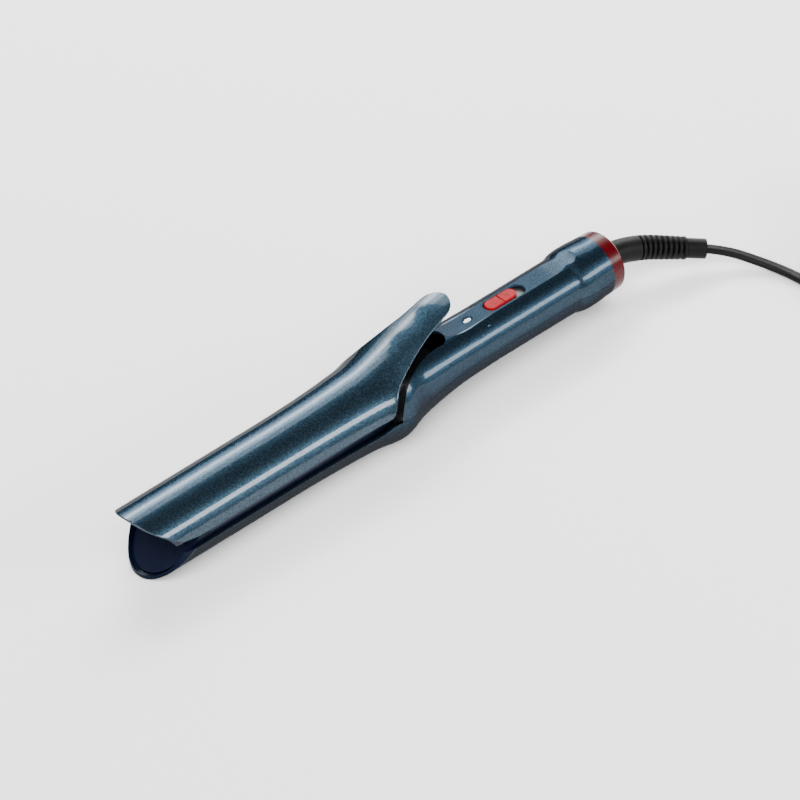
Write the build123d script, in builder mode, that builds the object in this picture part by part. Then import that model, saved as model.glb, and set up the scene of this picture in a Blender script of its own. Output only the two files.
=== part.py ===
"""Curling iron with a spring-loaded clip, a slide switch and a swivel cord.

The tool lies along X with its jaws towards -X and its cord towards +X, Z is up, and the
floor is Z = 0. Heights called "above the axis" are measured from the tool's own centre line.
All sizes are in millimetres.
"""

import os
from math import cos, pi, radians, sin, sqrt, tan

from build123d import *

# Overall sizes
tool_length = 327.7      # tip of the clip to the back of the end ring
handle_length = 156.0    # crest of the bell to the back of the end ring
jaw_radius = 20.0
bell_radius = 23.4
handle_radius = 15.0
flare_radius = 16.5
shell_wall = 1.8

# Front ends of the jaws, seen from above
clip_nose = 30.0         # how far the clip's sides fall back behind its tip
clip_nose_power = 2.45    # 2 is an ellipse, more is squarer
trough_setback = 8.5     # lower jaw's tip behind the clip's tip
trough_nose = 22.0
jaw_gap = 4.8            # open slit between the clip's edge and the trough's rim

# Clip and lever
clip_thickness = 1.3
plate_thickness = 0.7
plate_inset = 4.0
plate_length = 112.0
lever_length = 36.8      # crest of the bell to the centre of the lever's round end
lever_half_width = 9.2
lever_rise = 18.6        # lever's end above the jaw's top line

# Barrel
barrel_radius = 17.6
barrel_wall = 1.4
tip_cap_length = 6.0
tip_cap_recess = 0.1
fit_gap = 0.1            # slack between pieces that are fixed together
running_gap = 0.4        # slack beside pieces that move

# Heater
heater_setback = 20.0    # behind the heater, to the barrel's rear end
heater_tip_gap = 2.4     # ahead of the heater, to the deepest edge of the tip cap
heater_width = 16.0
heater_thickness = 5.0
spreader_wall = 2.2
fuse_radius = 2.0
fuse_length = 9.0
fuse_gap = 2.8           # beside the fuse, to the spreader's outer arc

# Hinge
pin_radius = 1.5
pin_slack = 0.05
pin_height = 12.0        # above the axis
pin_half_length = 15.5
ear_thickness = 2.4
ear_radius = 3.6
bracket_half_width = 10.8
bracket_thickness = 1.2
bracket_length = 15.0
deck_thickness = 2.4
deck_top = -0.8          # above the axis
wire_bore = 7.0
spring_wire = 0.5
spring_radius = 2.8
spring_turns = 6
spring_leg = 7.5

# Pocket behind the clip
pocket_length = 43.5     # crest of the bell to the pocket's round end
pocket_half_width = 6.6

# Top panel, lamp window and switch
panel_height = 14.1      # above the axis
panel_start = 58.0       # behind the crest
panel_ramp = 20.0        # soft end of the flat, towards the pocket
lamp_offset = 61.2
lamp_length = 5.0
lamp_width = 2.6
lamp_dish = 1.1          # sloping dish round the lamp
lamp_dish_depth = 0.5
slot_offset = 86.5
slot_length = 25.5
slot_width = 7.6
slot_chamfer = 0.5
switch_travel = 5.0
knob_slack = 0.45
knob_rise = 0.8
slider_thickness = 1.2
slider_width = 9.6
slider_margin = 2.0

# Board
board_length = 56.0
board_width = 20.0
board_thickness = 1.6
board_height = 3.0       # underside, above the axis
wire_radius = 0.9

# Screws
screw_shank_radius = 1.2
screw_head_radius = 2.5
screw_head_height = 1.8
screw_bite = 8.0
screw_seat_depth = 5.0
boss_radius = 3.2

# End ring and swivel
ring_length = 8.5
ring_overhang = 2.7      # past the end that the cord's route is measured from
ring_front_radius = 16.0
ring_back_radius = 15.2
ring_lip = 2.5
flare_length = 23.0
swivel_radius = 7.0
swivel_flange_radius = 9.5
swivel_flange = 2.5
hub_stem_radius = 4.0
hub_stem_length = 14.0
slip_ring_width = 3.0
slip_ring_height = 0.6

# Cord, a twin lead; the coil is what is wound up for storage
cord_radius = 2.8
relief_collar_radius = 6.3
relief_core_radius = 3.3
relief_end_radius = 5.0
relief_rib_count = 9
relief_rib_width = 1.3
coil_mid_radius = 31.0
coil_half_width = 8.7
coil_height = 11.6
tie_width = 6.0
tie_thickness = 1.0      # the coil lies on it
plug_width = 35.3
plug_height = 13.7
plug_length = 36.0
contact_radius = 2.0
contact_length = 19.0
contact_spacing = 19.0

# Stations along X and radii worked out from the sizes above
tip_x = -tool_length / 2
back_x = tool_length / 2
bell_x = back_x - handle_length
ring_x = back_x - ring_length
flare_x = ring_x - flare_length
trough_tip_x = tip_x + trough_setback
trough_side_x = trough_tip_x + trough_nose
bell_start_x = bell_x - 67.0
shell_front_x = bell_x - 8.2
barrel_end_x = bell_x - 7.0
lamp_x = bell_x + lamp_offset
slot_x = bell_x + slot_offset
screw_stations = (bell_x + pocket_length + 8.0, flare_x - 4.5)
cavity_radius = jaw_radius - shell_wall
bore_radius = barrel_radius - barrel_wall
panel_inside = handle_radius - shell_wall
board_top = board_height + board_thickness
lamp_window_top = panel_height - lamp_dish_depth + 0.2
rim_drop = jaw_gap / 2
wall_x = ring_x - 6.0
wall_thickness = 2.0
flange_x = wall_x - running_gap - swivel_flange
far = 2 * tool_length

tool_axis = Axis((0, 0, jaw_radius), (1, 0, 0))
side_view = Plane(origin=(0, 0, jaw_radius), x_dir=(1, 0, 0), z_dir=(0, -1, 0))
top_view = Plane(origin=(0, 0, jaw_radius), x_dir=(1, 0, 0), z_dir=(0, 0, 1))
far = 2 * tool_length


def station(x, y=0.0, height=0.0):
    """Plane across the tool at x, with its own x along Y and its own y up."""
    return Plane(origin=(x, y, jaw_radius + height), x_dir=(0, 1, 0), z_dir=(1, 0, 0))


def level(height, x=0.0, y=0.0):
    """Horizontal plane at a height above the axis."""
    return Plane(origin=(x, y, jaw_radius + height), x_dir=(1, 0, 0), z_dir=(0, 0, 1))


def disc(x, radius):
    """Round section on the tool's axis."""
    with BuildSketch(station(x)) as sketch:
        Circle(radius)
    return sketch.sketch


def skin(inset, start_x, end_x):
    """Half section of the jaw, bell, handle and flare, moved in by inset."""
    jaw = jaw_radius - inset
    bell = bell_radius - inset
    handle = handle_radius - inset
    flare = flare_radius - inset
    mouth = ring_front_radius - inset
    rise = bell - jaw
    fall = bell - handle
    bell_line = [
        (bell_start_x, jaw),
        (bell_x - 26, jaw + 0.28 * rise),
        (bell_x - 10, jaw + 0.65 * rise),
        (bell_x - 2, bell),
        (bell_x + 2, bell),
        (bell_x + 12, handle + 0.68 * fall),
        (bell_x + 26, handle + 0.36 * fall),
        (bell_x + 43, handle + 0.12 * fall),
        (bell_x + 63, handle + 0.02 * fall),
        (bell_x + 79, handle),
    ]
    with BuildSketch(side_view) as sketch:
        with BuildLine():
            Line((start_x, jaw), bell_line[0])
            Spline(*bell_line, tangents=((1, 0), (1, 0)))
            Line(bell_line[-1], (flare_x, handle))
            Spline((flare_x, handle), (flare_x + 3.4, (handle + flare) / 2), (flare_x + 8, flare),
                   (end_x, mouth), tangents=((1, 0), (1, -0.03)))
            Polyline((end_x, mouth), (end_x, 0), (start_x, 0), (start_x, jaw))
        make_face()
    return sketch.sketch


def turned_body(inset, start_x, end_x):
    """Solid of revolution of the whole tool, moved in by inset."""
    with BuildPart() as body:
        revolve(skin(inset, start_x, end_x), axis=tool_axis)
    return body.part


def nose_waste(tip, depth, half_width, power):
    """Area from above in front of a jaw whose front is a superellipse."""
    steps = [sin(radians(angle)) for angle in range(-90, 91, 9)]
    nose = [(tip + depth * (1 - (1 - abs(s) ** power) ** (1 / power)), half_width * s) for s in steps]
    side = 2 * half_width
    with BuildSketch(top_view) as sketch:
        with BuildLine():
            Spline(*nose, tangents=((-1, 0), (1, 0)))
            Polyline(nose[-1], (nose[-1][0], side), (tip - depth, side), (tip - depth, -side),
                     (nose[0][0], -side), nose[0])
        make_face()
    return sketch.sketch


def pocket_outline():
    """Opening in the upper shell, seen from above, that the lever rises through."""
    half = pocket_half_width
    edge = [
        (bell_x - 9.2, bell_radius + 1.5),
        (bell_x - 3.7, bell_radius - 1.7),
        (bell_x + 10.8, 0.58 * bell_radius),
        (bell_x + 25.8, half + 1.4),
        (bell_x + pocket_length - half, half),
    ]
    mirrored = [(x, -y) for x, y in edge]
    with BuildSketch(top_view) as sketch:
        with BuildLine():
            Spline(*edge, tangents=((1, -0.6), (1, 0)), tangent_scalars=(1, 1))
            ThreePointArc(edge[-1], (bell_x + pocket_length, 0), mirrored[-1])
            Spline(*mirrored, tangents=((1, 0.6), (1, 0)), tangent_scalars=(1, 1))
            Polyline(mirrored[0], (tip_x - 20, -far / 8), (tip_x - 20, far / 8), edge[0])
        make_face()
    return sketch.sketch


def polar(radius, angle):
    """Point at a radius and an angle in degrees."""
    return (radius * cos(radians(angle)), radius * sin(radians(angle)))


def sector(plane, radius, half_angle):
    """Slice of a disc, centred upwards, with its point at the plane's origin."""
    with BuildSketch(plane) as sketch:
        with BuildLine():
            CenterArc((0, 0), radius, 90 - half_angle, 2 * half_angle)
            Polyline(polar(radius, 90 + half_angle), (0, 0), polar(radius, 90 - half_angle))
        make_face()
    return sketch.sketch


def clip_body(inset):
    """Solid under the clip's skin, moved in by inset: a half-round bar that lifts into the lever."""
    stations = [  # distance behind the crest, rise of the top line, growth of the radius, half angle
        (-67, 0.0, 0.0, 81.5),
        (-45, 0.4, 0.5, 80.2),
        (-23, 1.4, 1.7, 78),
        (-10, 2.4, 3.2, 75),
        (-1, 0.22 * lever_rise, 6.0, 65),
        (8, 0.35 * lever_rise, 10.0, 48),
        (18, 0.52 * lever_rise, 14.0, 38),
        (28, 0.69 * lever_rise, 17.0, 31),
        (38, 0.87 * lever_rise, 20.0, 26),
        (52, 1.07 * lever_rise, 22.0, 22),
    ]
    wider = 2 if inset else 0
    slices = [sector(station(tip_x - 5), jaw_radius - inset, stations[0][3] + wider)]
    for offset, rise, growth, half_angle in stations:
        plane = station(bell_x + offset, 0, rise - growth)
        slices.append(sector(plane, jaw_radius + growth - inset, half_angle + wider))
    with BuildPart() as body:
        loft([slice.face() for slice in slices], ruled=True)
    return body.part


def lever_waste():
    """Area from above beside and behind the lever, from the bell to its round end."""
    end_x = bell_x + lever_length
    edge = [
        (bell_x - 12, bell_radius - 0.4),
        (bell_x - 7.6, bell_radius - 2.5),
        (bell_x - 3.5, bell_radius - 5.2),
        (bell_x + 3, lever_half_width + 6.6),
        (bell_x + 14.5, lever_half_width + 3.4),
        (bell_x + 25, lever_half_width + 1.2),
        (end_x, lever_half_width),
    ]
    other = [(x, -y) for x, y in edge]
    with BuildSketch(top_view) as sketch:
        with BuildLine():
            Spline(*edge)
            ThreePointArc(edge[-1], (end_x + lever_half_width, 0), other[-1])
            Spline(*other)
            Polyline(other[0], (bell_x - 12, -60), (bell_x + 90, -60), (bell_x + 90, 60),
                     (bell_x - 12, 60), edge[0])
        make_face()
    return sketch.sketch


def swivel_wall(side):
    """Half of the wall that holds the swivel, above the axis for side 1 and below it for side -1."""
    with BuildPart() as wall:
        extrude(disc(wall_x, ring_front_radius - shell_wall / 2), amount=wall_thickness)
        extrude(disc(wall_x, swivel_radius + running_gap), amount=wall_thickness, mode=Mode.SUBTRACT)
        with BuildSketch(level(0)):
            Rectangle(far, far)
        extrude(amount=side * far, mode=Mode.INTERSECT)
    return wall.part


def bend_radii(points):
    """Largest tangent arc at each corner of a route that its two runs leave room for."""
    runs = [Vector(*after) - Vector(*before) for before, after in zip(points, points[1:])]
    rooms = [0.45 * run.length for run in runs]
    rooms[0] *= 2
    rooms[-1] *= 2
    radii = []
    for index in range(len(runs) - 1):
        turn = radians(runs[index].get_angle(runs[index + 1]))
        radii.append(min(rooms[index], rooms[index + 1]) / tan(turn / 2))
    return radii


def route_tube(points, radius):
    """Round tube along straight runs joined by tangent arcs."""
    radii = bend_radii(points)
    with BuildPart() as tube:
        with BuildLine() as line:
            FilletPolyline(*points, radius=radii)
        with BuildSketch(Plane(line.wire() @ 0, z_dir=line.wire() % 0)):
            Circle(radius)
        sweep()
    section = pi * radius**2 * line.wire().length
    print("bend radii", [round(r, 1) for r in radii], "length", round(line.wire().length, 1),
          "volume over section times length", round(tube.part.volume / section, 4))
    return tube


# --------------------------------------------------------------------------- housings

with BuildPart() as hollow:
    add(turned_body(shell_wall, trough_tip_x - 5, back_x))
    with BuildSketch(level(-cavity_radius)):
        Rectangle(far, far)
    extrude(amount=far, mode=Mode.INTERSECT)

with BuildPart() as lower_shell:
    add(turned_body(0.0, trough_tip_x - 5, ring_x))
    with BuildSketch(side_view):
        with BuildLine():
            Polyline((trough_tip_x - 10, -jaw_radius), (back_x, -jaw_radius), (back_x, 0), (shell_front_x, 0),
                     (shell_front_x - 10, -rim_drop), (trough_tip_x - 10, -rim_drop), close=True)
        make_face()
    extrude(amount=far, both=True, mode=Mode.INTERSECT)
    waste = nose_waste(trough_tip_x, trough_nose, jaw_radius + 0.1, 2.0)
    extrude(waste, amount=far, both=True, mode=Mode.SUBTRACT)
    add(hollow.part, mode=Mode.SUBTRACT)
    for x in screw_stations:
        with BuildSketch(level(-handle_radius + 1, x)):
            Circle(boss_radius + 0.6)
        extrude(amount=handle_radius - 1)
        with BuildSketch(level(-handle_radius + screw_seat_depth, x)):
            Circle(screw_head_radius + 0.3)
        extrude(amount=-2 * screw_seat_depth, mode=Mode.SUBTRACT)
        with BuildSketch(level(-handle_radius, x)):
            Circle(screw_shank_radius + 0.3)
        extrude(amount=handle_radius + 1, mode=Mode.SUBTRACT)
    add(swivel_wall(-1))
lower_shell.part.label = "lower_shell"

board_screw_spots = ((lamp_x + 6, -board_width / 2 + 3), (lamp_x + board_length - 10, board_width / 2 - 3))
with BuildPart() as upper_shell:
    add(turned_body(0.0, trough_tip_x - 5, ring_x))
    add(turned_body(shell_wall, trough_tip_x - 10, back_x), mode=Mode.SUBTRACT)
    with BuildSketch(level(0)):
        Rectangle(far, far)
    extrude(amount=far, mode=Mode.INTERSECT)
    extrude(pocket_outline(), amount=far, mode=Mode.SUBTRACT)
    for x in screw_stations:
        with BuildSketch(level(0, x)):
            Circle(boss_radius)
        extrude(amount=handle_radius - 1)
        with BuildSketch(level(0, x)):
            Circle(screw_shank_radius)
        extrude(amount=screw_bite, mode=Mode.SUBTRACT)
    for x, y in board_screw_spots:
        with BuildSketch(level(board_top, x, y)):
            Circle(2.2)
        extrude(amount=panel_inside - board_top - 1)
        with BuildSketch(level(board_top, x, y)):
            Circle(1.0)
        extrude(amount=5, mode=Mode.SUBTRACT)
    add(swivel_wall(1))
    with BuildSketch(side_view):
        with BuildLine():
            ramp_start = (bell_x + panel_start - panel_ramp, panel_height + 3.2)
            ramp_end = (flare_x + panel_ramp / 2, panel_height + 2.8)
            flat_start = (bell_x + panel_start, panel_height)
            flat_end = (flare_x - panel_ramp / 3, panel_height)
            Spline(ramp_start, flat_start, tangents=((1, -0.38), (1, 0)))
            Line(flat_start, flat_end)
            Spline(flat_end, ramp_end, tangents=((1, 0), (1, 0.4)))
            Polyline(ramp_end, (ramp_end[0], far / 4), (ramp_start[0], far / 4), ramp_start)
        make_face()
    extrude(amount=far, both=True, mode=Mode.SUBTRACT)
    with BuildSketch(level(board_top + 4)):
        with Locations((slot_x, 0)):
            SlotOverall(slot_length, slot_width)
        with Locations((lamp_x, 0)):
            Ellipse(lamp_length / 2, lamp_width / 2)
    extrude(amount=far, mode=Mode.SUBTRACT)
    with BuildSketch(level(panel_height, slot_x)):
        SlotOverall(slot_length + 2 * slot_chamfer, slot_width + 2 * slot_chamfer)
    with BuildSketch(level(panel_height - slot_chamfer, slot_x)):
        SlotOverall(slot_length, slot_width)
    loft(mode=Mode.SUBTRACT)
    with BuildSketch(level(panel_height, lamp_x)):
        Ellipse(lamp_length / 2 + lamp_dish, lamp_width / 2 + lamp_dish)
    with BuildSketch(level(panel_height - lamp_dish_depth, lamp_x)):
        Ellipse(lamp_length / 2, lamp_width / 2)
    loft(mode=Mode.SUBTRACT)
upper_shell.part.label = "upper_shell"

# --------------------------------------------------------------------------- end ring and swivel

with BuildPart() as end_ring:
    with BuildSketch(side_view):
        with BuildLine():
            bore = swivel_radius + running_gap
            Polyline((ring_x, bore), (ring_x, ring_front_radius), (back_x - 1.6, ring_back_radius + 0.4))
            ThreePointArc((back_x - 1.6, ring_back_radius + 0.4), (back_x - 0.5, ring_back_radius - 0.6),
                          (back_x, ring_back_radius - 2.0))
            Polyline((back_x, ring_back_radius - 2.0), (back_x, bore), (ring_x, bore))
        make_face()
    revolve(axis=tool_axis)
    with BuildSketch(station(ring_x)):
        Circle(ring_front_radius - shell_wall - fit_gap)
        Circle(ring_front_radius - 2 * shell_wall, mode=Mode.SUBTRACT)
    extrude(amount=-ring_lip)
end_ring.part.label = "end_ring"

with BuildPart() as swivel_hub:
    extrude(disc(flange_x, swivel_flange_radius), amount=swivel_flange)
    extrude(disc(flange_x, swivel_radius), amount=back_x - flange_x)
    extrude(disc(flange_x, hub_stem_radius), amount=-hub_stem_length)
swivel_hub.part.label = "swivel_hub"

ring_spots = [flange_x - hub_stem_length * share for share in (0.4, 0.85)]
brush_height = -hub_stem_radius - slip_ring_height - running_gap
block_top = brush_height - 3.0
with BuildPart() as slip_rings:
    for x in ring_spots:
        with BuildSketch(station(x)):
            Circle(hub_stem_radius + slip_ring_height)
            Circle(hub_stem_radius, mode=Mode.SUBTRACT)
        extrude(amount=slip_ring_width)
slip_rings.part.label = "slip_rings"

with BuildPart() as brush_contacts:
    for x in ring_spots:
        with BuildSketch(station(x)):
            with BuildLine():
                Polyline((-4, brush_height), (4, brush_height), (4, block_top), (3.5, block_top),
                         (3.5, brush_height - 0.5), (-4, brush_height - 0.5), close=True)
            make_face()
        extrude(amount=slip_ring_width)
brush_contacts.part.label = "brush_contacts"

with BuildPart() as contact_block:
    with BuildSketch(level(block_top, flange_x - hub_stem_length / 2)):
        Rectangle(hub_stem_length - 2, 11)
    extrude(amount=-2.4)
contact_block.part.label = "contact_block"

# --------------------------------------------------------------------------- barrel and heater

slant = Plane(origin=(trough_side_x, 0, jaw_radius), x_dir=(0, 1, 0),
              z_dir=Vector(-jaw_radius, 0, trough_nose).normalized())
cap_face = slant.offset(-tip_cap_recess)
cap_back = slant.offset(-tip_cap_recess - tip_cap_length)
cap_stub = slant.offset(-tip_cap_recess - 2 * tip_cap_length)

with BuildPart() as barrel:
    with BuildSketch(station(trough_tip_x - 5)):
        Circle(barrel_radius)
        Circle(bore_radius, mode=Mode.SUBTRACT)
    extrude(amount=barrel_end_x - trough_tip_x + 5)
    split(bisect_by=cap_back, keep=Keep.BOTTOM)
barrel.part.label = "barrel"

with BuildPart() as cap_stem:
    extrude(disc(trough_tip_x - 5, bore_radius - fit_gap), amount=3 * trough_nose)
    split(bisect_by=cap_back, keep=Keep.BOTTOM)
    split(bisect_by=cap_stub, keep=Keep.TOP)

with BuildPart() as tip_cap:
    extrude(disc(trough_tip_x - 5, barrel_radius), amount=3 * trough_nose)
    split(bisect_by=cap_face, keep=Keep.BOTTOM)
    split(bisect_by=cap_back, keep=Keep.TOP)
    add(cap_stem.part)
tip_cap.part.label = "tip_cap"

cap_stub_slope = sqrt(jaw_radius ** 2 + trough_nose ** 2) / jaw_radius
cap_stub_x = (trough_side_x + (2 * tip_cap_length + tip_cap_recess) * cap_stub_slope
              + bore_radius * trough_nose / jaw_radius)
heater_length = barrel_end_x - heater_setback - cap_stub_x - heater_tip_gap
heater_x = barrel_end_x - heater_setback - heater_length / 2
with BuildPart() as heater_core:
    with BuildSketch(station(heater_x - heater_length / 2)):
        Rectangle(heater_width, heater_thickness)
    extrude(amount=heater_length)
heater_core.part.label = "heater_core"


def heat_spreader(side):
    """Half-round aluminium section that carries heat from one face of the heater to the barrel."""
    reach = bore_radius - fit_gap
    web_middle = side * (heater_thickness + spreader_wall) / 2
    with BuildPart() as block:
        with BuildSketch(station(heater_x - heater_length / 2)):
            Circle(reach)
            Circle(reach - spreader_wall, mode=Mode.SUBTRACT)
            with Locations((0, web_middle)):
                Rectangle(2 * reach - 1, spreader_wall)
            with Locations((0, side * reach / 2)):
                Rectangle(spreader_wall, reach)
            Circle(reach, mode=Mode.INTERSECT)
            with Locations((0, side * (heater_thickness / 2 + reach))):
                Rectangle(2 * reach, 2 * reach, mode=Mode.INTERSECT)
        extrude(amount=heater_length)
    return block


upper_spreader = heat_spreader(1)
upper_spreader.part.label = "upper_heat_spreader"
lower_spreader = heat_spreader(-1)
lower_spreader.part.label = "lower_heat_spreader"

fuse_level = heater_thickness / 2 + spreader_wall + fuse_radius
fuse_reach = bore_radius - fit_gap - spreader_wall - fuse_radius
with BuildPart() as thermal_fuse:
    fuse_spot = station(heater_x, sqrt(fuse_reach ** 2 - fuse_level ** 2) - fuse_gap, fuse_level)
    with BuildSketch(fuse_spot):
        Circle(fuse_radius)
    extrude(amount=fuse_length)
    with BuildSketch(fuse_spot):
        Circle(0.5)
    extrude(amount=-4)
thermal_fuse.part.label = "thermal_fuse"

# --------------------------------------------------------------------------- mount and hinge

pin_view = Plane(origin=(bell_x, 0, jaw_radius + pin_height), x_dir=(1, 0, 0), z_dir=(0, -1, 0))
flange_end_x = barrel_end_x + 3.0
deck_end_x = bell_x + pocket_length + 1.0

with BuildPart() as deck_space:
    add(turned_body(shell_wall + fit_gap, trough_tip_x - 5, back_x))
    with BuildSketch(level(deck_top)):
        with Locations(((flange_end_x + deck_end_x) / 2 - fit_gap, 0)):
            Rectangle(deck_end_x - flange_end_x + 2 * fit_gap, far)
    extrude(amount=-deck_thickness, mode=Mode.INTERSECT)

with BuildPart() as barrel_mount:
    extrude(disc(barrel_end_x + fit_gap, bore_radius - fit_gap), amount=-16)
    extrude(disc(barrel_end_x + fit_gap, barrel_radius), amount=flange_end_x - barrel_end_x - fit_gap)
    add(deck_space.part)
    with BuildSketch(pin_view):
        with BuildLine():
            ear_foot = deck_top - pin_height - 1
            Line((-ear_radius - 1.5, ear_foot), (-ear_radius, 0))
            ThreePointArc((-ear_radius, 0), (0, ear_radius), (ear_radius, 0))
            Polyline((ear_radius, 0), (ear_radius + 1.5, ear_foot), (-ear_radius - 1.5, ear_foot))
        make_face()
    extrude(amount=pin_half_length - 0.2, both=True)
    with BuildSketch(Plane(origin=(bell_x, 0, jaw_radius + deck_top), z_dir=(0, 0, 1))):
        Rectangle(4 * ear_radius, 2 * (pin_half_length - 0.2 - ear_thickness))
    extrude(amount=2 * pin_height, mode=Mode.SUBTRACT)
    with BuildSketch(pin_view):
        Circle(pin_radius)
    extrude(amount=far, both=True, mode=Mode.SUBTRACT)
    with BuildSketch(station(barrel_end_x - 20, 0, deck_top - deck_thickness - wire_bore / 2 - 1)):
        SlotOverall(2 * wire_bore, wire_bore)
    extrude(amount=40, mode=Mode.SUBTRACT)
barrel_mount.part.label = "barrel_mount"

with BuildPart() as hinge_pin:
    with BuildSketch(pin_view):
        Circle(pin_radius)
    extrude(amount=pin_half_length, both=True)
hinge_pin.part.label = "hinge_pin"

spring_pitch = 2 * spring_wire + 0.3
with BuildPart() as clip_spring:
    coil_length = spring_pitch * spring_turns
    with BuildLine() as coil_line:
        Helix(spring_pitch, coil_length, spring_radius, center=(bell_x, -coil_length / 2, jaw_radius + pin_height),
              direction=(0, 1, 0))
    with BuildSketch(Plane(coil_line.wire() @ 0, z_dir=coil_line.wire() % 0)):
        Circle(spring_wire)
    sweep()
    with BuildSketch(level(pin_height, bell_x + spring_radius, -coil_length / 2)):
        Circle(spring_wire)
    extrude(amount=deck_top - pin_height)
    with BuildSketch(level(pin_height, bell_x + spring_radius, coil_length / 2)):
        Circle(spring_wire)
    extrude(amount=spring_leg)
clip_spring.part.label = "clip_spring"

# --------------------------------------------------------------------------- clip

clip_skin = clip_body(0.0)
clip_inside = clip_body(clip_thickness)
bracket_inside = clip_body(clip_thickness + bracket_thickness)

with BuildPart() as clip_shell:
    add(clip_skin)
    add(clip_inside, mode=Mode.SUBTRACT)
    extrude(nose_waste(tip_x, clip_nose, jaw_radius + 0.1, clip_nose_power), amount=far, both=True,
            mode=Mode.SUBTRACT)
    extrude(lever_waste(), amount=far, both=True, mode=Mode.SUBTRACT)
clip_shell.part.label = "clip_shell"

with BuildPart() as clip_plate:
    plate_radius = jaw_radius - clip_thickness
    plate_start = station(tip_x + plate_inset)
    extrude(sector(plate_start, plate_radius, 78), amount=plate_length)
    extrude(sector(plate_start, plate_radius - plate_thickness, 80), amount=plate_length, mode=Mode.SUBTRACT)
    extrude(nose_waste(tip_x + plate_inset, clip_nose, jaw_radius, clip_nose_power), amount=far, both=True,
            mode=Mode.SUBTRACT)
clip_plate.part.label = "clip_plate"

with BuildPart() as bracket_channel:
    add(bracket_inside)
    with BuildSketch(Plane(origin=(bell_x, 0, jaw_radius), z_dir=(0, 0, 1))):
        Rectangle(2 * bracket_length, 2 * (bracket_half_width - bracket_thickness))
    extrude(amount=far, both=True, mode=Mode.INTERSECT)

with BuildPart() as clip_bracket:
    with BuildSketch(pin_view):
        with BuildLine():
            half = bracket_length / 2
            ThreePointArc((-ear_radius, 0), (0, -ear_radius), (ear_radius, 0))
            Polyline((ear_radius, 0), (half, 5), (half, 20), (-half, 20), (-half, 5), (-ear_radius, 0))
        make_face()
    extrude(amount=bracket_half_width, both=True)
    add(clip_inside, mode=Mode.INTERSECT)
    add(bracket_channel.part, mode=Mode.SUBTRACT)
    with BuildSketch(pin_view):
        Circle(pin_radius + pin_slack)
    extrude(amount=far, both=True, mode=Mode.SUBTRACT)
clip_bracket.part.label = "clip_bracket"

# --------------------------------------------------------------------------- board, lamp and switch

board_x = lamp_x - 4.5 + board_length / 2
with BuildPart() as circuit_board:
    with BuildSketch(level(board_height, board_x)):
        Rectangle(board_length, board_width)
    extrude(amount=board_thickness)
    for x, y in board_screw_spots:
        with BuildSketch(level(board_height, x, y)):
            Circle(1.1)
        extrude(amount=board_thickness, mode=Mode.SUBTRACT)
circuit_board.part.label = "circuit_board"

with BuildPart() as board_components:
    with BuildSketch(level(board_height, board_x + 10, -2)):
        Rectangle(12, 5)
    extrude(amount=-7.5)
    with BuildSketch(level(board_height, board_x - 6, -3)):
        Rectangle(10, 4.5)
    extrude(amount=-4.5)
    with BuildSketch(station(board_x - 4, 5, board_height - 1.6)):
        Circle(1.6)
    extrude(amount=9)
    with BuildSketch(station(board_x + 9, 5, board_height - 1.3)):
        Circle(1.3)
    extrude(amount=6)
board_components.part.label = "board_components"

with BuildPart() as board_screws:
    for x, y in board_screw_spots:
        with BuildSketch(level(board_height, x, y)):
            Circle(1.9)
        extrude(amount=-1.3)
        with BuildSketch(level(board_height, x, y)):
            Circle(1.0)
        extrude(amount=board_thickness + 4)
board_screws.part.label = "board_screws"

slider_top = sqrt(panel_inside**2 - (slider_width / 2) ** 2) - running_gap
slider_bottom = slider_top - slider_thickness
body_height = 4.4
knob_length = slot_length - switch_travel - 2 * knob_slack
knob_front_x = slot_x - slot_length / 2 + knob_slack
knob_x = knob_front_x + knob_length / 2

with BuildPart() as switch_body:
    with BuildSketch(level(board_top, slot_x)):
        Rectangle(18, 8)
    extrude(amount=body_height)
    with BuildSketch(level(board_top + 1.6, knob_x + switch_travel / 2)):
        Rectangle(3 + switch_travel + 2 * knob_slack, 3)
    extrude(amount=body_height, mode=Mode.SUBTRACT)
switch_body.part.label = "switch_body"

with BuildPart() as switch_slider:
    slider_length = slot_length + 2 * slider_margin
    with BuildSketch(level(slider_bottom, knob_front_x - slider_margin + slider_length / 2)):
        Rectangle(slider_length, slider_width)
    extrude(amount=slider_thickness)
    with BuildSketch(level(slider_bottom, knob_x)):
        Rectangle(3, 3 - 2 * knob_slack)
    extrude(amount=board_top + 2.0 - slider_bottom)
switch_slider.part.label = "switch_slider"

with BuildPart() as switch_knob:
    with BuildSketch(level(slider_top, knob_x)):
        SlotOverall(knob_length, slot_width - 2 * knob_slack)
    extrude(amount=panel_height + knob_rise - slider_top)
    fillet(switch_knob.faces().sort_by(Axis.Z)[-1].edges(), 0.5)
    with BuildSketch(level(panel_height + knob_rise, knob_x)):
        Rectangle(0.8, slot_width)
    extrude(amount=-0.7, mode=Mode.SUBTRACT)
switch_knob.part.label = "switch_knob"

with BuildPart() as lamp:
    with BuildSketch(level(board_top, lamp_x)):
        Circle(1.9)
    extrude(amount=0.8)
    with BuildSketch(level(board_top + 0.8, lamp_x)):
        Circle(1.5)
    extrude(amount=4.5)
    fillet(lamp.faces().sort_by(Axis.Z)[-1].edges(), 1.2)
lamp.part.label = "lamp"

with BuildPart() as lamp_window:
    with BuildSketch(level(panel_inside - 1.0, lamp_x)):
        Ellipse(lamp_length / 2 - knob_slack / 2, lamp_width / 2 - knob_slack / 2)
    extrude(amount=lamp_window_top - panel_inside + 1.0)
    with BuildSketch(level(panel_inside - 0.2, lamp_x)):
        Ellipse(lamp_length / 2 + 0.8, lamp_width / 2 + 0.6)
    extrude(amount=-0.8)
lamp_window.part.label = "lamp_window"

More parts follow.
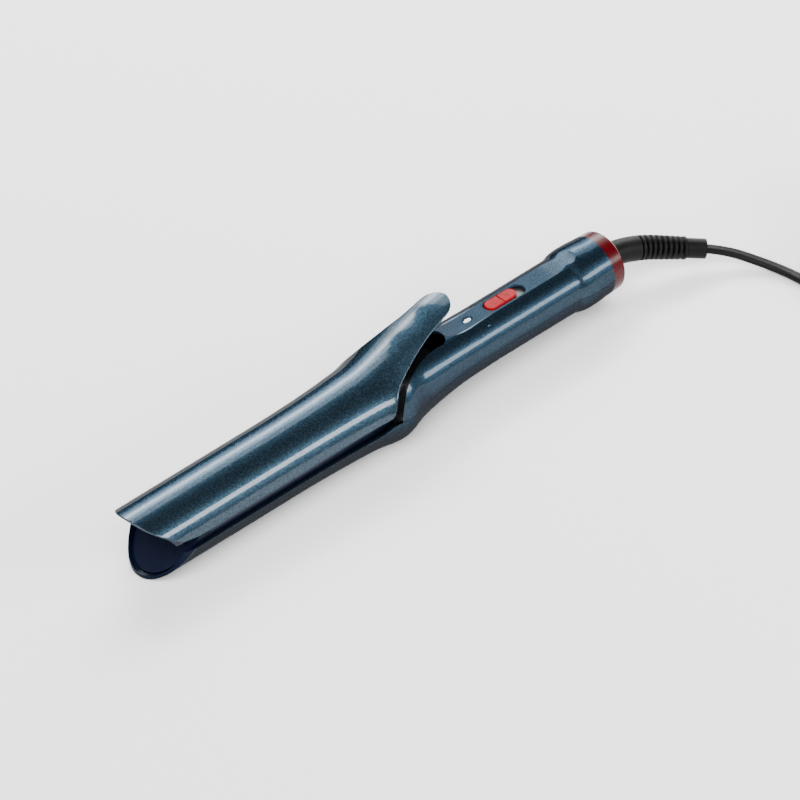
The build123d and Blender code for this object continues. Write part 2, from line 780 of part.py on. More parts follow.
with BuildPart() as housing_screws:
    seat = -handle_radius + screw_seat_depth
    for x in screw_stations:
        with BuildSketch(level(seat, x)):
            Circle(screw_head_radius)
        extrude(amount=-screw_head_height)
        with BuildSketch(level(seat, x)):
            Circle(screw_shank_radius)
        extrude(amount=screw_bite - 1 - seat)
        with BuildSketch(level(seat - screw_head_height, x)):
            Rectangle(2.6, 0.7)
            Rectangle(0.7, 2.6)
        extrude(amount=0.9, mode=Mode.SUBTRACT)
housing_screws.part.label = "housing_screws"


def joined(tubes, label):
    """One node from several separate solids."""
    with BuildPart() as group:
        for tube in tubes:
            add(tube.part)
    group.part.label = label
    return group


wire_level = jaw_radius + deck_top - deck_thickness - 4.0
heater_wires = joined([route_tube([
    (heater_x + heater_length / 2 + 0.5, side * 3.0, wire_level),
    (bell_x + 6, side * 3.0, wire_level),
    (bell_x + 32, side * 7.0, wire_level),
    (lamp_x - 8, side * 7.2, wire_level + 1.5),
    (lamp_x - 2.5, side * 7.5, jaw_radius + board_height - 0.8),
], wire_radius) for side in (1, -1)], "heater_wires")

supply_wires = joined([route_tube([
    (flange_x - hub_stem_length + 0.8, side * 4.3, jaw_radius + block_top - 1.2),
    (flare_x - 4, side * 6.4, jaw_radius + block_top),
    (flare_x - 11, side * 7.4, jaw_radius - 4.5),
    (board_x + board_length / 2 - 3, side * 7.5, jaw_radius + board_height - 0.9),
], wire_radius) for side in (1, -1)], "supply_wires")

# --------------------------------------------------------------------------- cord

cord_x = back_x - ring_overhang
coil_turn_radius = coil_mid_radius - 5.8
coil_x = cord_x + 75.7 + coil_mid_radius + 5.8
coil_y = -82.0
coil_top = tie_thickness + coil_height
relief_route = [
    (back_x, 0.0, jaw_radius),
    (cord_x + 11.0, 0.0, jaw_radius),
    (cord_x + 25.0, -4.3, jaw_radius - 2.5),
    (cord_x + 44.4, -14.5, jaw_radius - 8.0),
    (cord_x + 52.4, -20.2, jaw_radius - 9.8),
]
lead_route = [
    relief_route[-1],
    (cord_x + 61.2, -26.47, 7.82),
    (cord_x + 69.9, -41.0, 4.2),
    (cord_x + 74.6, -53.0, 3.0),
    (cord_x + 75.7, coil_y + 18.0, 2.8),
]
coil_outer = coil_mid_radius + coil_half_width
tail_corner_radius = coil_turn_radius / cos(radians(13.35))
tail_corners = [polar(tail_corner_radius, angle) for angle in (-66.7, -40.0, -13.3)]
tail_start = polar(coil_turn_radius, -80)
plug_middle_x = coil_x + coil_turn_radius
plug_back_y = coil_y + 3.0
plug_level = coil_top + plug_height / 2
tail_route = [
    (coil_x + tail_start[0], coil_y + tail_start[1], coil_top + cord_radius - 0.2),
    (coil_x + tail_corners[0][0], coil_y + tail_corners[0][1], coil_top + cord_radius),
    (coil_x + tail_corners[1][0], coil_y + tail_corners[1][1], coil_top + cord_radius + 1.2),
    (coil_x + tail_corners[2][0], coil_y + tail_corners[2][1], plug_level - 1.0),
    (plug_middle_x, plug_back_y, plug_level),
]

with BuildPart() as strain_relief:
    with BuildLine() as relief_line:
        FilletPolyline(*relief_route, radius=bend_radii(relief_route))
    relief_wire = relief_line.wire()
    print("strain relief bend radii", [round(r, 1) for r in bend_radii(relief_route)])
    with BuildSketch(Plane(relief_wire @ 0, z_dir=relief_wire % 0)):
        Circle(relief_core_radius)
    sweep(path=relief_wire)
    collar = relief_wire.trim(0, 0.36)
    with BuildSketch(Plane(collar @ 0, z_dir=collar % 0)):
        Circle(relief_collar_radius)
    sweep(path=collar)
    sleeve = relief_wire.trim(0.82, 1)
    with BuildSketch(Plane(sleeve @ 0, z_dir=sleeve % 0)):
        Circle(relief_end_radius)
    sweep(path=sleeve)
    for index in range(relief_rib_count):
        spot = 0.36 + 0.46 * (index + 0.6) / relief_rib_count
        with BuildSketch(Plane(relief_wire @ spot, z_dir=relief_wire % spot)):
            Circle(relief_collar_radius - 0.07 * index)
        extrude(amount=relief_rib_width / 2, both=True)
strain_relief.part.label = "strain_relief"

cord_lead = route_tube(lead_route, cord_radius)
cord_lead.part.label = "cord_lead"
cord_tail = route_tube(tail_route, cord_radius)
cord_tail.part.label = "cord_tail"

with BuildPart() as cord_coil:
    with BuildSketch(Plane(origin=(coil_x, coil_y, tie_thickness))):
        Circle(coil_outer)
        Circle(coil_mid_radius - coil_half_width, mode=Mode.SUBTRACT)
    extrude(amount=coil_height)
    fillet(cord_coil.faces().sort_by(Axis.Z)[-1].edges(), 2.5)
cord_coil.part.label = "cord_coil"

with BuildPart() as cord_tie:
    with BuildSketch(Plane(origin=(coil_x, coil_y, 0), x_dir=(0, 1, 0), z_dir=(1, 0, 0))):
        with Locations((-coil_mid_radius, tie_thickness + coil_height / 2)):
            RectangleRounded(2 * coil_half_width + 2 * tie_thickness, coil_height + 2 * tie_thickness, 2.5)
            Rectangle(2 * coil_half_width, coil_height, mode=Mode.SUBTRACT)
    extrude(amount=tie_width / 2, both=True)
    add(cord_coil.part, mode=Mode.SUBTRACT)
cord_tie.part.label = "cord_tie"

plug_face_y = plug_back_y + plug_length
with BuildPart() as plug_body:
    with BuildSketch(Plane.XY.offset(coil_top)):
        with BuildLine():
            half = plug_width / 2
            Line((plug_middle_x - 6, plug_back_y), (plug_middle_x + 6, plug_back_y))
            Spline((plug_middle_x + 6, plug_back_y), (plug_middle_x + half, plug_back_y + 22),
                   tangents=((0.2, 1), (0, 1)))
            Line((plug_middle_x + half, plug_back_y + 22), (plug_middle_x + half, plug_face_y))
            Line((plug_middle_x + half, plug_face_y), (plug_middle_x - half, plug_face_y))
            Line((plug_middle_x - half, plug_face_y), (plug_middle_x - half, plug_back_y + 22))
            Spline((plug_middle_x - half, plug_back_y + 22), (plug_middle_x - 6, plug_back_y),
                   tangents=((0, -1), (0.2, -1)))
        make_face()
    extrude(amount=plug_height)
    fillet(plug_body.edges().filter_by(Axis.Z).sort_by(Axis.Y)[-2:], 4)
    chamfer(plug_body.faces().sort_by(Axis.Z)[-1].edges(), 1.2)
    chamfer(plug_body.faces().sort_by(Axis.Z)[0].edges(), 1.2)
plug_body.part.label = "plug_body"

with BuildPart() as plug_pins:
    for side in (1, -1):
        pin_x = plug_middle_x + side * contact_spacing / 2
        with BuildSketch(Plane(origin=(pin_x, plug_face_y, plug_level), x_dir=(1, 0, 0), z_dir=(0, 1, 0))):
            Circle(contact_radius)
        extrude(amount=contact_length)
plug_pins.part.label = "plug_pins"

# --------------------------------------------------------------------------- files

pieces = [
    lower_shell, upper_shell, end_ring, swivel_hub, slip_rings, brush_contacts, contact_block,
    barrel, tip_cap, heater_core, upper_spreader, lower_spreader, thermal_fuse, barrel_mount,
    hinge_pin, clip_spring, clip_shell, clip_plate, clip_bracket,
    circuit_board, board_components, board_screws, switch_body, switch_slider, switch_knob,
    lamp, lamp_window, housing_screws, heater_wires, supply_wires,
    strain_relief, cord_lead, cord_tail, cord_coil, cord_tie, plug_body, plug_pins,
]
os.makedirs("parts", exist_ok=True)
for piece in pieces:
    export_step(piece.part, f"parts/{piece.part.label}.step")
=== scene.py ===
"""Curling iron with a wide spring clip, a slide switch and a swivel cord, on a pale floor."""
import math

import bpy
import numpy as np
from mathutils import Matrix, Vector


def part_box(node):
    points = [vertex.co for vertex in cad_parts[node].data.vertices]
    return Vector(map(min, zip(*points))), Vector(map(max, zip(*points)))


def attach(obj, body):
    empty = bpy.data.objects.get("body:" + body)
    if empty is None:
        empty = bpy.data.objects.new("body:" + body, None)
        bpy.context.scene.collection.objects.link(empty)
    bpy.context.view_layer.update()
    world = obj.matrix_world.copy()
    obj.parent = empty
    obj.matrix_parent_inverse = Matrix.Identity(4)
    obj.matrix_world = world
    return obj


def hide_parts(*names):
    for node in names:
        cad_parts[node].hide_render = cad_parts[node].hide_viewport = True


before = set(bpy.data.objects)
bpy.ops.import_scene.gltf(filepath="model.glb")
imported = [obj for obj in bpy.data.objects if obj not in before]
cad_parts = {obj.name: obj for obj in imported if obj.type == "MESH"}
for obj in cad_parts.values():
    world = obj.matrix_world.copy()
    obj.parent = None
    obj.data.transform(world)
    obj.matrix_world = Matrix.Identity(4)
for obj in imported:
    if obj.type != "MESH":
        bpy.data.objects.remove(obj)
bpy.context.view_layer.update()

# ---------------------------------------------------------------- camera

view_back = Vector((-0.5587, -0.5587, 0.6129)).normalized()
view_target = Vector((0.01385, -0.0090, 0.0200))
camera_distance = 16.0
picture_width = 0.3883

camera_data = bpy.data.cameras.new("camera")
camera_data.lens = camera_data.sensor_width * camera_distance / picture_width
camera_data.clip_start = 1.0
camera_data.clip_end = 100
camera = bpy.data.objects.new("camera", camera_data)
bpy.context.scene.collection.objects.link(camera)
camera.location = view_target + view_back * camera_distance
camera.rotation_mode = "QUATERNION"
camera.rotation_quaternion = (-view_back).to_track_quat("-Z", "Y")
bpy.context.scene.camera = camera


# ---------------------------------------------------------------- making meshes


def mesh_piece(name, points, faces):
    """A smooth-shaded mesh object with these points and faces, at the origin and unturned."""
    mesh = bpy.data.meshes.new(name)
    mesh.from_pydata(np.asarray(points).tolist(), [], faces)
    mesh.shade_smooth()
    piece = bpy.data.objects.new(name, mesh)
    bpy.context.scene.collection.objects.link(piece)
    return piece


def tube_faces(rings, around):
    """The four-sided faces of a closed tube: each ring joined to the next, and its last point to its
    first."""
    ring, step = np.meshgrid(np.arange(rings - 1), np.arange(around), indexing="ij")
    here = ring * around + step
    beside = ring * around + (step + 1) % around
    return np.stack([here, beside, beside + around, here + around], axis=-1).reshape(-1, 4).tolist()


def smooth_step(value):
    """0 under 0 and 1 over 1, and between them three times the square less twice the cube."""
    held = np.clip(value, 0, 1)
    return held * held * (3 - 2 * held)


# ---------------------------------------------------------------- mains cord

cord_width = 0.0056
cord_thickness = 0.0035
crease_depth = 0.16  # of the thickness
crease_half_width = 0.0005
floor_height = 0.0028
layer_pitch = 0.0039
coil_centre = (0.27365, -0.0820)
coil_columns = (0.0368, 0.0310, 0.0252)
turn_points = 16
turns = 8.5
move_start = 0.8  # how far round a turn the cord leaves its column and layer
rise_start = 0.27  # how far round the last turn it leaves its layer for the plug
rise_share = 0.23
plug_entry = 0.01945
plug_rear = -0.0790

lead_points = [
    (0.21355, -0.0202, 0.0102),
    (0.22235, -0.02647, 0.00782),
    (0.23105, -0.0410, 0.0040),
    (0.23575, -0.0530, 0.0022),
    (0.23685, -0.0640, 0.0022),
    (0.23685, -0.0740, 0.0026),
]
tail_points = [
    (coil_centre[0] + coil_columns[2], coil_centre[1], plug_entry),
    (coil_centre[0] + coil_columns[2], plug_rear, plug_entry),
]
# The column and the layer of each turn: in along the floor, out above it, and in again on top.
turn_places = [(0, 0), (1, 0), (2, 0), (2, 1), (1, 1), (0, 1), (0, 2), (1, 2), (2, 2)]


def coil_points():
    """The coil's control points. A turn keeps its column and layer, and moves to the next turn's in its
    last fifth. The last quarter turn rises to the plug, which lies on the coil."""
    points = []
    spread = 1 / math.cos(math.pi / turn_points)
    for step in range(1, int(turns * turn_points)):
        turn, part = divmod(step / turn_points, 1)
        column, layer = turn_places[int(turn)]
        radius, height = coil_columns[column], floor_height + layer * layer_pitch
        if turn + 1 < len(turn_places):
            next_column, next_layer = turn_places[int(turn) + 1]
            moved = float(smooth_step((part - move_start) / (1 - move_start)))
            radius += (coil_columns[next_column] - radius) * moved
            height += (next_layer - layer) * layer_pitch * moved
        else:
            height += (plug_entry - height) * float(smooth_step((part - rise_start) / rise_share))
        angle = math.pi + 2 * math.pi * step / turn_points
        points.append(
            (
                coil_centre[0] + radius * spread * math.cos(angle),
                coil_centre[1] + radius * spread * math.sin(angle),
                height,
            )
        )
    return points


def spline_line(points):
    """The points along a NURBS spline that has these control points."""
    data = bpy.data.curves.new("route", "CURVE")
    data.dimensions = "3D"
    data.resolution_u = 6
    spline = data.splines.new("NURBS")
    spline.points.add(len(points) - 1)
    spline.points.foreach_set("co", [c for p in points for c in (*p, 1)])
    spline.order_u = 3
    spline.use_endpoint_u = True
    holder = bpy.data.objects.new("route", data)
    line = bpy.data.meshes.new_from_object(holder)
    found = np.empty(len(line.vertices) * 3)
    line.vertices.foreach_get("co", found)
    bpy.data.objects.remove(holder)
    bpy.data.meshes.remove(line)
    return found.reshape(-1, 3)


def flat_cord(name, line, around=28):
    """A flat two-core cord along a line. Its section is a rounded oval, with a shallow crease along the
    middle of each flat side, and its wide way stays level."""
    along = np.gradient(line, axis=0)
    along /= np.linalg.norm(along, axis=1, keepdims=True)
    side = np.cross(along, (0, 0, 1))
    side /= np.linalg.norm(side, axis=1, keepdims=True)
    rise = np.cross(side, along)
    turn = np.linspace(0, 2 * math.pi, around, endpoint=False)
    across = np.sign(np.cos(turn)) * np.abs(np.cos(turn)) ** 0.8 * cord_width / 2
    up = np.sign(np.sin(turn)) * np.abs(np.sin(turn)) ** 0.72 * cord_thickness / 2
    up *= 1 - crease_depth * np.exp(-((across / crease_half_width) ** 2))
    rings = line[:, None] + side[:, None] * across[None, :, None] + rise[:, None] * up[None, :, None]
    return mesh_piece(name, rings.reshape(-1, 3), tube_faces(len(line), around))


cord_line = spline_line(lead_points + coil_points() + tail_points)
cord_length = float(np.linalg.norm(np.diff(cord_line, axis=0), axis=1).sum())
mains_cord = flat_cord("mains_cord", cord_line)
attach(mains_cord, "cord_swivel")
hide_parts("cord_lead", "cord_coil", "cord_tail")
print("cord length", round(cord_length, 4))


# ---------------------------------------------------------------- clip

tip_x = -0.16385
bell_x = 0.00785
jaw_radius = 0.020
clip_thickness = 0.0013
nose_depth = 0.030
nose_power = 2.45
lever_end_x = bell_x + 0.0368
lever_half_width = 0.0092
# Distance behind the crest, rise of the top line, growth of the radius, all in mm, and half angle.
clip_stations = np.array(
    [
        (-67, 0.0, 0.0, 81.5),
        (-45, 0.4, 0.5, 80.2),
        (-23, 1.4, 1.7, 78),
        (-10, 2.4, 3.2, 75),
        (-1, 4.1, 6.0, 65),
        (8, 6.5, 10.0, 48),
        (18, 9.7, 14.0, 38),
        (28, 12.8, 17.0, 31),
        (38, 16.2, 20.0, 26),
        (52, 19.9, 22.0, 22),
    ]
)
# The lever's edge from above: distance behind the crest and half width, in mm.
lever_edge = np.array(
    [(-12, 23.2), (-7.6, 21.1), (-3.5, 18.2), (3, 15.8), (14.5, 12.6), (25, 10.4), (36.8, 9.2)]
)
# The side edge near the nose: distance behind the tip and height above the axis, in mm.
nose_edge = np.array([(0, 14.0), (12, 8.2), (20, 5.0), (28, 3.5), (38, 2.95), (60, 2.9)])


def smooth_through(x, table, column):
    """The value at x of a smooth curve through a table's column: cubic pieces whose slopes at the
    table's points are the slopes between their neighbours. Outside the table it stays level."""
    places, values = table[:, 0], table[:, column]
    slopes = np.gradient(values, places)
    x = np.clip(x, places[0], places[-1])
    i = np.clip(np.searchsorted(places, x) - 1, 0, len(places) - 2)
    width = places[i + 1] - places[i]
    t = (x - places[i]) / width
    return (
        values[i] * (1 + 2 * t) * (1 - t) ** 2
        + slopes[i] * width * t * (1 - t) ** 2
        + values[i + 1] * t * t * (3 - 2 * t)
        + slopes[i + 1] * width * t * t * (t - 1)
    )


def soft_least(one, other, softness=0.035):
    """About the smaller of two angles, rounded off where they are within a few softnesses."""
    return -softness * np.log(np.exp(-one / softness) + np.exp(-other / softness))


def clip_rings(across=72, rim=7):
    """The clip's closed sections. Each is an outer arc, a half-round rim, an inner arc one thickness
    inside it, and the other rim. An arc ends where the first of these is met: its own half angle, the
    superellipse of the nose, the rounded corner below it, and the lever's edge."""
    share = np.linspace(0.03, 1, 60)
    nose_x = tip_x + nose_depth * (1 - (1 - share**nose_power) ** (1 / nose_power))
    bar_x = np.linspace(nose_x[-1], lever_end_x, 150)[1:]
    round_end = np.radians(np.linspace(0, 88, 26)[1:])
    x = np.concatenate([nose_x, bar_x, lever_end_x + lever_half_width * np.sin(round_end)])
    offset = (x - bell_x) * 1000
    rise = smooth_through(offset, clip_stations, 1) / 1000
    growth = smooth_through(offset, clip_stations, 2) / 1000
    radius = jaw_radius + growth
    middle = jaw_radius + rise - growth
    half_width = np.where(offset > -12, smooth_through(offset, lever_edge, 1) / 1000, 1.0)
    half_width[: len(share)] = jaw_radius * share
    half_width[-len(round_end) :] = lever_half_width * np.cos(round_end)
    lowest = jaw_radius + smooth_through((x - tip_x) * 1000, nose_edge, 1) / 1000
    side_angle = np.radians(smooth_through(offset, clip_stations, 3))
    plan_angle = np.arcsin(np.clip(half_width / radius, 0, 1))
    angle = np.where(
        (offset > -30) & (offset < 10), soft_least(side_angle, plan_angle), np.minimum(side_angle, plan_angle)
    )
    near_nose = x < tip_x + 0.06
    angle = np.where(near_nose, np.minimum(angle, np.arccos((lowest - middle) / radius)), angle)
    arc_end = np.maximum(angle - clip_thickness / 2 / radius, 0.002)
    sweep = np.linspace(-1, 1, across)
    turn = np.linspace(0, math.pi, rim + 2)[1:-1]
    rings = []
    for x_here, ring_radius, ring_middle, end in zip(x, radius, middle, arc_end):
        centre = ring_radius - clip_thickness / 2
        rim_out = centre + clip_thickness / 2 * np.cos(turn)
        rim_angle = end + clip_thickness / 2 / ring_radius * np.sin(turn)
        angles = np.concatenate([end * sweep, rim_angle, -end * sweep, -rim_angle[::-1]])
        radii = np.concatenate(
            [
                np.full(across, ring_radius),
                rim_out,
                np.full(across, ring_radius - clip_thickness),
                rim_out[::-1],
            ]
        )
        rings.append(
            np.stack(
                [np.full(len(radii), x_here), radii * np.sin(angles), ring_middle + radii * np.cos(angles)],
                axis=-1,
            )
        )
    return np.array(rings)


sections = clip_rings()
around = sections.shape[1]
clip_faces = tube_faces(len(sections), around)
clip_faces += [list(range(around))[::-1], list(range(around * (len(sections) - 1), around * len(sections)))]
clip = mesh_piece("clip", sections.reshape(-1, 3), clip_faces)
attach(clip, "clip")
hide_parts("clip_shell")


# ---------------------------------------------------------------- switch marks


def ring_mark(name, centre, radius, wire, across=24, about=8):
    """A thin raised ring, half sunk in the flat face under it."""
    turn = np.linspace(0, 2 * math.pi, across + 1)
    around_centre = np.stack([np.cos(turn), np.sin(turn), np.zeros(across + 1)], axis=-1)
    line = centre + radius * around_centre
    tilt = np.linspace(0, 2 * math.pi, about, endpoint=False)
    rings = (
        line[:, None]
        + around_centre[:, None] * wire * np.cos(tilt)[None, :, None]
        + np.array((0, 0, 1)) * wire * np.sin(tilt)[None, :, None]
    )
    return mesh_piece(name, rings.reshape(-1, 3), tube_faces(len(line), about))


def bar_mark(name, centre, half_length, wire, about=8):
    """A thin raised bar with tapered ends, across the tool and half sunk in the face under it."""
    place = np.array((-1, -0.85, 0.85, 1))
    width = np.array((0.05, 1, 1, 0.05)) * wire
    tilt = np.linspace(0, 2 * math.pi, about, endpoint=False)
    rings = np.stack(
        [
            centre[0] + width[:, None] * np.cos(tilt),
            centre[1] + half_length * place[:, None] + 0 * tilt,
            centre[2] + width[:, None] * np.sin(tilt),
        ],
        axis=-1,
    )
    return mesh_piece(name, rings.reshape(-1, 3), tube_faces(len(place), about))


knob_low, knob_high = (np.array(corner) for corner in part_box("switch_knob"))
knob_middle = (knob_low + knob_high) / 2
quarter = (knob_high[0] - knob_low[0]) * 0.24
mark_wire = 0.00018
off_place = np.array((knob_middle[0] + quarter, knob_middle[1], knob_high[2]))
on_place = np.array((knob_middle[0] - quarter, knob_middle[1], knob_high[2]))
off_mark = ring_mark("off_mark", off_place, 0.0011, mark_wire)
on_mark = bar_mark("on_mark", on_place, 0.0012, mark_wire)
for mark in (off_mark, on_mark):
    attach(mark, "switch")


# ---------------------------------------------------------------- materials


class Value:
    """A number or colour worked out in a material's nodes, so that arithmetic on it adds the nodes."""

    def __init__(self, finish, socket):
        self.finish = finish
        self.socket = socket

    def math(self, operation, *others):
        node = self.finish.add("ShaderNodeMath", operation=operation)
        for place, term in zip(node.inputs, (self, *others)):
            self.finish.give(place, term)
        return Value(self.finish, node.outputs[0])

    def __add__(self, other):
        return self.math("ADD", other)

    def __sub__(self, other):
        return self.math("SUBTRACT", other)

    def __mul__(self, other):
        return self.math("MULTIPLY", other)

    def step(self, low, high):
        """0 at low and under it, 1 at high and over it, and smooth between."""
        node = self.finish.add("ShaderNodeMapRange", interpolation_type="SMOOTHSTEP")
        self.finish.give(node.inputs["Value"], self)
        node.inputs["From Min"].default_value = low
        node.inputs["From Max"].default_value = high
        return Value(self.finish, node.outputs[0])

    def mix(self, low, high):
        """The colour low at 0 and high at 1."""
        node = self.finish.add("ShaderNodeMix", data_type="RGBA")
        self.finish.give(node.inputs[0], self)
        self.finish.give(node.inputs[6], low)
        self.finish.give(node.inputs[7], high)
        return Value(self.finish, node.outputs[2])


class Finish:
    """A Principled material, with methods that add its nodes."""

    def __init__(self, name, **constants):
        self.material = bpy.data.materials.new(name)
        self.material.use_nodes = True
        self.tree = self.material.node_tree
        self.shader = self.tree.nodes["Principled BSDF"]
        self.place = Value(self, self.add("ShaderNodeTexCoord").outputs["Object"])
        for socket, value in constants.items():
            self.set(socket.replace("_", " "), value)

    def add(self, kind, **settings):
        node = self.tree.nodes.new(kind)
        for setting, value in settings.items():
            setattr(node, setting, value)
        return node

    def give(self, place, value):
        if isinstance(value, Value):
            self.tree.links.new(value.socket, place)
        elif isinstance(value, tuple) and len(value) == 3 and place.type == "RGBA":
            place.default_value = (*value, 1)
        else:
            place.default_value = value

    def set(self, socket, value):
        self.give(self.shader.inputs[socket], value)

    def noise(self, size, detail=2.0, stretch=(1, 1, 1)):
        """Noise whose blobs are about size metres across, and longer by stretch along each axis."""
        scaled = self.add("ShaderNodeMapping")
        self.give(scaled.inputs["Vector"], self.place)
        scaled.inputs["Scale"].default_value = tuple(1 / s for s in stretch)
        node = self.add("ShaderNodeTexNoise")
        self.tree.links.new(scaled.outputs[0], node.inputs["Vector"])
        node.inputs["Scale"].default_value = 1 / size
        node.inputs["Detail"].default_value = detail
        return Value(self, node.outputs[0])

    def flakes(self, size):
        """A random number for each cell of about size metres."""
        node = self.add("ShaderNodeTexVoronoi")
        self.give(node.inputs["Vector"], self.place)
        node.inputs["Scale"].default_value = 1 / size
        parts = self.add("ShaderNodeSeparateColor")
        self.tree.links.new(node.outputs["Color"], parts.inputs[0])
        return Value(self, parts.outputs[0])

    def coordinate(self, axis):
        """The X, Y or Z coordinate, in metres."""
        parts = self.add("ShaderNodeSeparateXYZ")
        self.give(parts.inputs[0], self.place)
        return Value(self, parts.outputs[axis])

    def bump(self, height, depth, strength=1.0):
        node = self.add("ShaderNodeBump")
        self.give(node.inputs["Height"], height)
        node.inputs["Distance"].default_value = depth
        node.inputs["Strength"].default_value = strength
        self.set("Normal", Value(self, node.outputs[0]))


flake_size = 0.00028
cloud_size = 0.0010


def metallic_paint(name, dark, light, **constants):
    """Paint with bright flakes in it: small cells of random brightness over a softer cloudiness."""
    paint = Finish(name, **constants)
    grains = paint.flakes(flake_size)
    glints = grains.step(0.6, 1.0)
    cloud = paint.noise(cloud_size, 3.0).step(0.3, 0.72)
    paint.colour = (glints * 0.5 + cloud * 0.3 + 0.1).mix(dark, light)
    paint.set("Base Color", paint.colour)
    paint.set("Roughness", paint.noise(0.02, 2.0) * 0.06 + 0.33)
    paint.bump(grains, 0.000012, 0.3)
    return paint


def moulded_plastic(name, colour, roughness, grain=0.0003, depth=0.00001, **constants):
    """Plain plastic with a fine moulded grain and slightly uneven gloss."""
    plastic = Finish(name, **constants)
    shade = plastic.noise(0.006, 3.0)
    darker, lighter = (tuple(c * share for c in colour) for share in (0.8, 1.2))
    plastic.set("Base Color", shade.mix(darker, lighter))
    plastic.set("Roughness", plastic.noise(0.004, 2.0) * 0.14 + (roughness - 0.07))
    plastic.bump(plastic.noise(grain, 2.0), depth, 0.5)
    return plastic.material


def turned_metal(name, colour, roughness, stretch=(1, 1, 1), metallic=1.0):
    """Bare metal with fine drawn lines, longer along the way that it was drawn."""
    metal = Finish(name, Metallic=metallic)
    lines = metal.noise(0.00025, 3.0, stretch)
    metal.set("Base Color", lines.mix(tuple(c * 0.85 for c in colour), colour))
    metal.set("Roughness", lines * 0.16 + (roughness - 0.08))
    metal.bump(lines, 0.000006, 0.4)
    return metal.material


housing_coat = 0.075
flake_metal = 0.95
blue = {
    "dark": (0.003, 0.012, 0.024),
    "light": (0.034, 0.062, 0.086),
    "Metallic": flake_metal,
    "Specular_Tint": (0.05, 0.08, 0.11),
    "Specular_IOR_Level": 0.2,
    "Coat_Weight": 0.1,
    "Coat_IOR": 2.5,
    "Coat_Roughness": 0.07,
}
# The clip's paint is a lighter copy of the housings' paint, with painted light that gives the clip its
# brighter highlight, and it is glossier than the housings.
lit_clip_blue = blue | {"light": (0.050, 0.090, 0.122), "Coat_Weight": 0.14}
blue_paint = metallic_paint("blue_metallic_paint", **lit_clip_blue).material

# The housings have painted shade along the line where they meet, in place of the shaded groove
# between them, and a dark slanted end face, which lies on the plane through nose_foot at the axis's
# height that falls back by nose_slope. Their flat top panel is satin.
shell_paint = metallic_paint("blue_housing_paint", **blue)
nose_foot = -0.13335
nose_slope = 1.1
height = shell_paint.coordinate("Z") - jaw_radius  # above the axis
# Painted shade: a dark line along the seam between the upper and lower housings, where the groove between
# them would be in shade.
seam_shade = height.math("ABSOLUTE").step(0.00010, 0.00032)
face = (shell_paint.coordinate("X") - height * nose_slope - nose_foot).step(0.0002, 0.0006)
seam_shaded_colour = seam_shade.mix((0.001, 0.002, 0.004), shell_paint.colour)
shell_paint.set("Base Color", face.mix((0.001, 0.003, 0.012), seam_shaded_colour))
along = shell_paint.coordinate("X")
panel = (
    shell_paint.coordinate("Y").math("ABSOLUTE").step(0.0056, 0.0048)
    * height.step(0.0125, 0.0130)
    * along.step(0.034, 0.052)
    * along.step(0.142, 0.120)
)
shell_paint.set("Coat Weight", (face - panel) * housing_coat)
shell_paint.set("Metallic", face * flake_metal - panel * 0.5)
shell_paint.set("Roughness", panel * 0.2 + 0.36)
dark_coating = metallic_paint(
    "dark_coating", (0.002, 0.004, 0.016), (0.006, 0.011, 0.034), Metallic=0.5, Coat_Weight=0.1
).material
red_ring = moulded_plastic(
    "dark_red_plastic", (0.045, 0.0002, 0.0015), 0.25, depth=0.000004, Specular_IOR_Level=0.15
)
red_knob = moulded_plastic("red_plastic", (0.24, 0.004, 0.008), 0.6, Specular_IOR_Level=0.1)
black_plastic = moulded_plastic("black_plastic", (0.014, 0.014, 0.016), 0.48)
black_rubber = moulded_plastic(
    "black_rubber", (0.003, 0.003, 0.003), 0.5, grain=0.0006, Specular_IOR_Level=0.1
)
cap_plastic = moulded_plastic(
    "cap_plastic", (0.001, 0.003, 0.014), 0.5, depth=0.000006, Specular_IOR_Level=0.15
)
lamp_plastic = moulded_plastic("lamp_plastic", (0.5, 0.53, 0.56), 0.25, depth=0.000002)
steel = turned_metal("steel", (0.62, 0.62, 0.64), 0.32)
brass = turned_metal("brass", (0.78, 0.58, 0.28), 0.28)
nickel = turned_metal("nickel", (0.8, 0.79, 0.76), 0.2, (1, 6, 1))
aluminium = turned_metal("aluminium", (0.8, 0.8, 0.81), 0.38, (8, 1, 1))
board = moulded_plastic("board", (0.04, 0.2, 0.09), 0.4)
ceramic = moulded_plastic("ceramic", (0.5, 0.4, 0.28), 0.6)

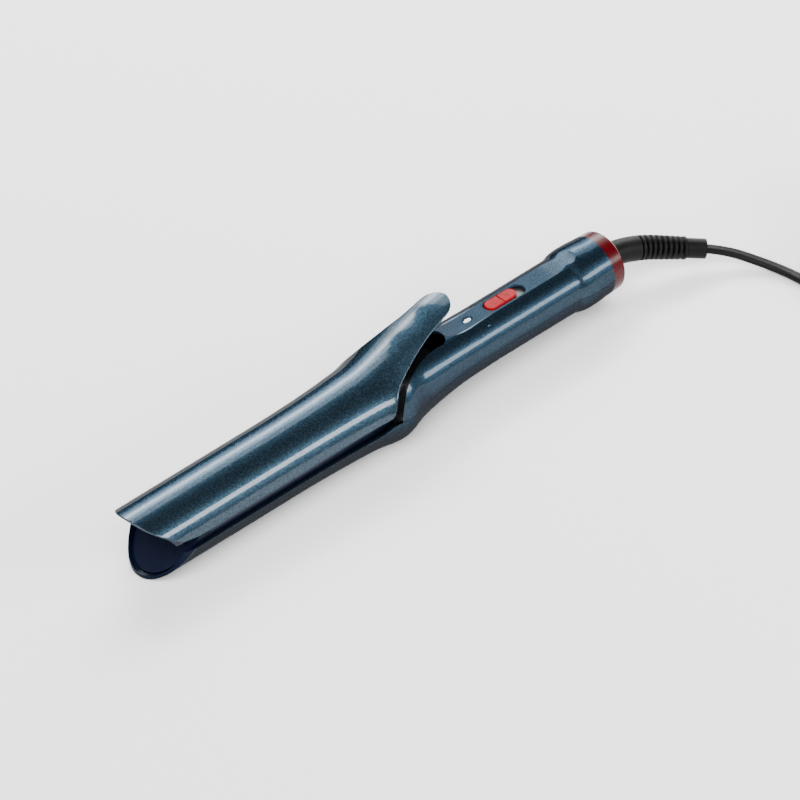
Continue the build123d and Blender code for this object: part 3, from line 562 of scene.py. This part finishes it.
node_materials = {
    blue_paint: "clip_shell",
    shell_paint.material: "lower_shell upper_shell",
    dark_coating: "barrel clip_plate",
    cap_plastic: "tip_cap",
    red_ring: "end_ring",
    red_knob: "switch_knob",
    black_plastic: "swivel_hub contact_block barrel_mount board_components switch_body switch_slider"
    " cord_tie",
    black_rubber: "strain_relief heater_wires supply_wires plug_body cord_lead cord_tail cord_coil",
    lamp_plastic: "lamp lamp_window",
    steel: "thermal_fuse hinge_pin clip_spring clip_bracket board_screws housing_screws",
    brass: "slip_rings brush_contacts",
    nickel: "plug_pins",
    aluminium: "upper_heat_spreader lower_heat_spreader",
    board: "circuit_board",
    ceramic: "heater_core",
}
for material, names in node_materials.items():
    for name in names.split():
        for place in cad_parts[name].material_slots:
            place.material = material
mains_cord.data.materials.append(black_rubber)
clip.data.materials.append(blue_paint)
mark_plastic = moulded_plastic("mark_plastic", (0.09, 0.006, 0.008), 0.5)
for mark in (off_mark, on_mark):
    mark.data.materials.append(mark_plastic)


# ---------------------------------------------------------------- floor and light


floor_half = 3.0
floor_corners = [(x * floor_half, y * floor_half, 0) for x, y in ((-1, -1), (1, -1), (1, 1), (-1, 1))]
floor_paint = Finish("floor_paint", Base_Color=(0.9, 0.9, 0.9), Roughness=0.9, Specular_IOR_Level=0.0)
floor = mesh_piece("floor", floor_corners, [(0, 1, 2, 3)])
floor.data.materials.append(floor_paint.material)


def soft_light(name, towards, distance, length, height, power):
    """A rectangular light that way from the object, facing it, with its length along the tool."""
    data = bpy.data.lights.new(name, "AREA")
    data.shape = "RECTANGLE"
    data.size = length
    data.size_y = height
    data.energy = power
    light = bpy.data.objects.new(name, data)
    bpy.context.scene.collection.objects.link(light)
    way = Vector(towards).normalized()
    along = (Vector((1, 0, 0)) - way * way.x).normalized()
    turned = Matrix((along, way.cross(along), way)).transposed()
    light.location = way * distance
    light.rotation_mode = "QUATERNION"
    light.rotation_quaternion = turned.to_quaternion()


# The three lights of the far side lie one before the other, and give one highlight that fades outwards.
soft_light("far_side", (0.5587, 0.555, 0.616), distance=1.6, length=1.5, height=1.3, power=24)
soft_light("far_side_middle", (0.5587, 0.576, 0.596), distance=1.55, length=1.5, height=0.6, power=20)
soft_light("far_side_core", (0.5587, 0.586, 0.586), distance=1.5, length=1.5, height=0.22, power=15)
soft_light("near_strip", (0.5587, -0.739, 0.376), distance=1.5, length=1.3, height=0.28, power=24)
soft_light("fill", (-0.55, -0.30, 0.78), distance=3.0, length=2.6, height=2.6, power=220)

world = bpy.data.worlds.new("world")
world.use_nodes = True
world.node_tree.nodes["Background"].inputs["Color"].default_value = (1, 1, 1, 1)
world.node_tree.nodes["Background"].inputs["Strength"].default_value = 0.15
bpy.context.scene.world = world
